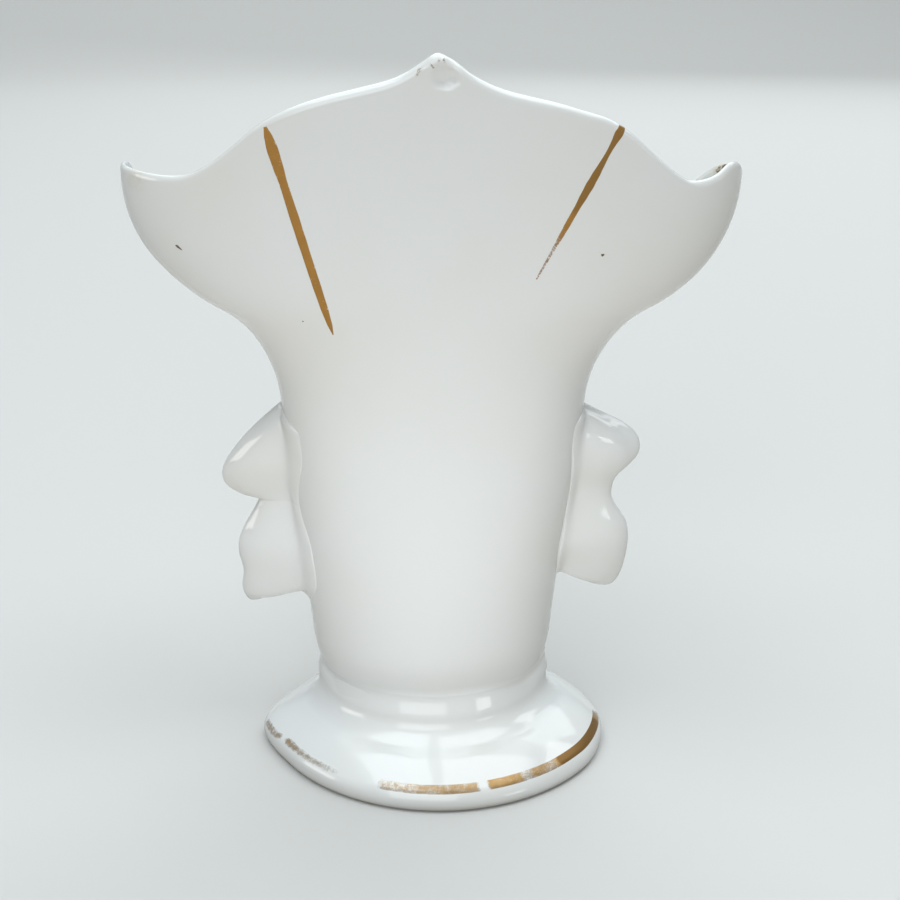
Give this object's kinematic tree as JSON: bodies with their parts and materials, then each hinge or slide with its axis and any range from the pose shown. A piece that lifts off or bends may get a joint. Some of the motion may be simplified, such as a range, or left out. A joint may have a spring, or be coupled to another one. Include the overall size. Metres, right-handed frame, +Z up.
{
  "type": "spill vase",
  "caption": "Fan-shaped spill vase with a peaked rim, lobed side lugs and a flared hollow foot, in white glazed porcelain with worn gilt strokes.",
  "frame": {"origin": "on the table under the middle of the foot", "axes": "+Z up, the pictured side faces -Y, +X to the right as the picture sees it"},
  "size_m": [0.121, 0.063, 0.15],
  "materials": {
    "porcelain": "clear glossy glaze over white porcelain, slightly uneven, with small specks",
    "slip": "fired slip, satin where it shows at a joint",
    "gilding": "fired liquid gold, brushed on by hand and worn through in places"
  },
  "bodies": {
    "root": {"rear_wall": "porcelain", "front_wall": "porcelain", "well_bat": "porcelain", "foot": "porcelain", "left_lug": "porcelain", "right_lug": "porcelain", "left_seam_slip": "slip", "right_seam_slip": "slip", "foot_slip": "slip", "left_lug_slip": "slip", "right_lug_slip": "slip", "rear_left_stroke": "gilding", "rear_right_stroke": "gilding", "front_left_stroke": "gilding", "front_right_stroke": "gilding", "foot_gilt_line": "gilding"}
  },
  "joints": []
}
